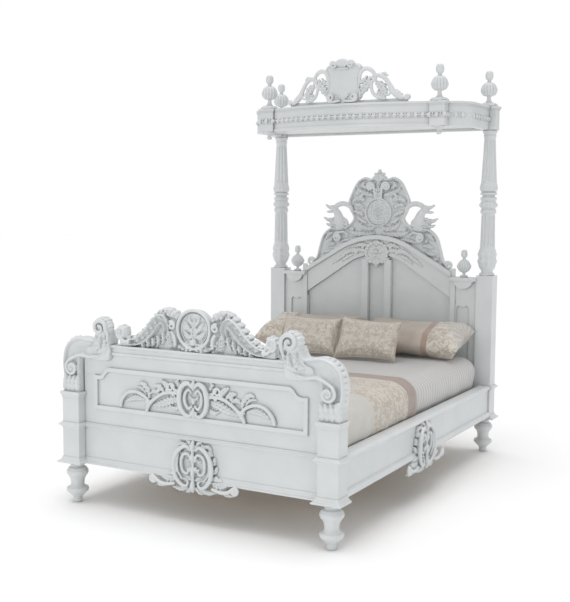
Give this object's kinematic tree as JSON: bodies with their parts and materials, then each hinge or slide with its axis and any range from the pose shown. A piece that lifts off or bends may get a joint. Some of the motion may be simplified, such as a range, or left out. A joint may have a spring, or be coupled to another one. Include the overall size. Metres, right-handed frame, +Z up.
{
  "type": "miniature half tester bed",
  "caption": "Dolls house double bed in white painted wood with a carved footboard, arched headboard, columns carrying a canopy over the head, and lift-off mattress and pillows.",
  "frame": {"origin": "on the floor at the centre of the bed", "axes": "+Z up, the footboard faces -Y and the headboard stands at +Y, +X to the right seen from the foot"},
  "size_m": [0.1324, 0.185, 0.1968],
  "materials": {
    "white_paint": "satin antique white paint on carved wood",
    "bare_wood": "planed bare wood",
    "ticking": "woven cotton ticking",
    "ivory_sateen": "smooth sateen with a fine self stripe",
    "champagne_brocade": "satin brocade with a pale leaf figure",
    "champagne_satin": "soft satin",
    "leaf_brocade": "dense brocade with a small leaf figure"
  },
  "bodies": {
    "bedstead": {"canopy_back_rail": "white_paint", "canopy_bead_band": "white_paint", "canopy_ceiling": "white_paint", "canopy_cornice": "white_paint", "canopy_crest_cartouche": "white_paint", "canopy_crest_scroll_left": "white_paint", "canopy_crest_scroll_right": "white_paint", "canopy_finials": "white_paint", "canopy_front_blocks": "white_paint", "canopy_front_rail": "white_paint", "canopy_side_left": "white_paint", "canopy_side_right": "white_paint", "column_left": "white_paint", "column_right": "white_paint", "dowels": "bare_wood", "foot_post_left": "white_paint", "foot_post_right": "white_paint", "footboard_applique": "white_paint", "footboard_apron_cartouche": "white_paint", "footboard_corner_scroll_left": "white_paint", "footboard_corner_scroll_right": "white_paint", "footboard_crest_scroll_left": "white_paint", "footboard_crest_scroll_right": "white_paint", "footboard_lower_panel": "white_paint", "footboard_medallion": "white_paint", "footboard_mouldings": "white_paint", "footboard_panel_moulding": "white_paint", "footboard_top_rail": "white_paint", "footboard_upper_panel": "white_paint", "head_post_left": "white_paint", "head_post_right": "white_paint", "headboard_arch_moulding": "white_paint", "headboard_arch_rail": "white_paint", "headboard_back_panel": "white_paint", "headboard_bird_scroll_left": "white_paint", "headboard_bird_scroll_right": "white_paint", "headboard_cartouche": "white_paint", "headboard_crest": "white_paint", "headboard_finials": "white_paint", "headboard_mullions": "white_paint", "headboard_shelves": "white_paint", "headboard_stile_left": "white_paint", "headboard_stile_right": "white_paint", "leg_back_left": "white_paint", "leg_back_right": "white_paint", "leg_front_left": "white_paint", "leg_front_right": "white_paint", "mattress_supports": "bare_wood", "side_cartouche_left": "white_paint", "side_cartouche_right": "white_paint", "side_rail_left": "white_paint", "side_rail_right": "white_paint", "slats": "bare_wood"},
    "bedding": {"mattress": "ticking", "fitted_sheet": "ivory_sateen", "bed_runner": "champagne_brocade"},
    "pillow_left": {"back_pillow_left": "champagne_satin"},
    "pillow_right": {"back_pillow_right": "champagne_satin"},
    "cushion_left": {"front_cushion_left": "leaf_brocade"},
    "cushion_right": {"front_cushion_right": "leaf_brocade"}
  },
  "joints": [
    {"name": "bedding_lift", "type": "slide", "parent": "bedstead", "child": "bedding", "axis": [0, 0, 1], "range_m": [0, 0.058]},
    {"name": "pillow_left_lift", "type": "slide", "parent": "bedding", "child": "pillow_left", "axis": [0, 0, 1], "range_m": [0, 0.025]},
    {"name": "pillow_right_lift", "type": "slide", "parent": "bedding", "child": "pillow_right", "axis": [0, 0, 1], "range_m": [0, 0.025]},
    {"name": "cushion_left_lift", "type": "slide", "parent": "bedding", "child": "cushion_left", "axis": [0, 0, 1], "range_m": [0, 0.025]},
    {"name": "cushion_right_lift", "type": "slide", "parent": "bedding", "child": "cushion_right", "axis": [0, 0, 1], "range_m": [0, 0.025]}
  ]
}
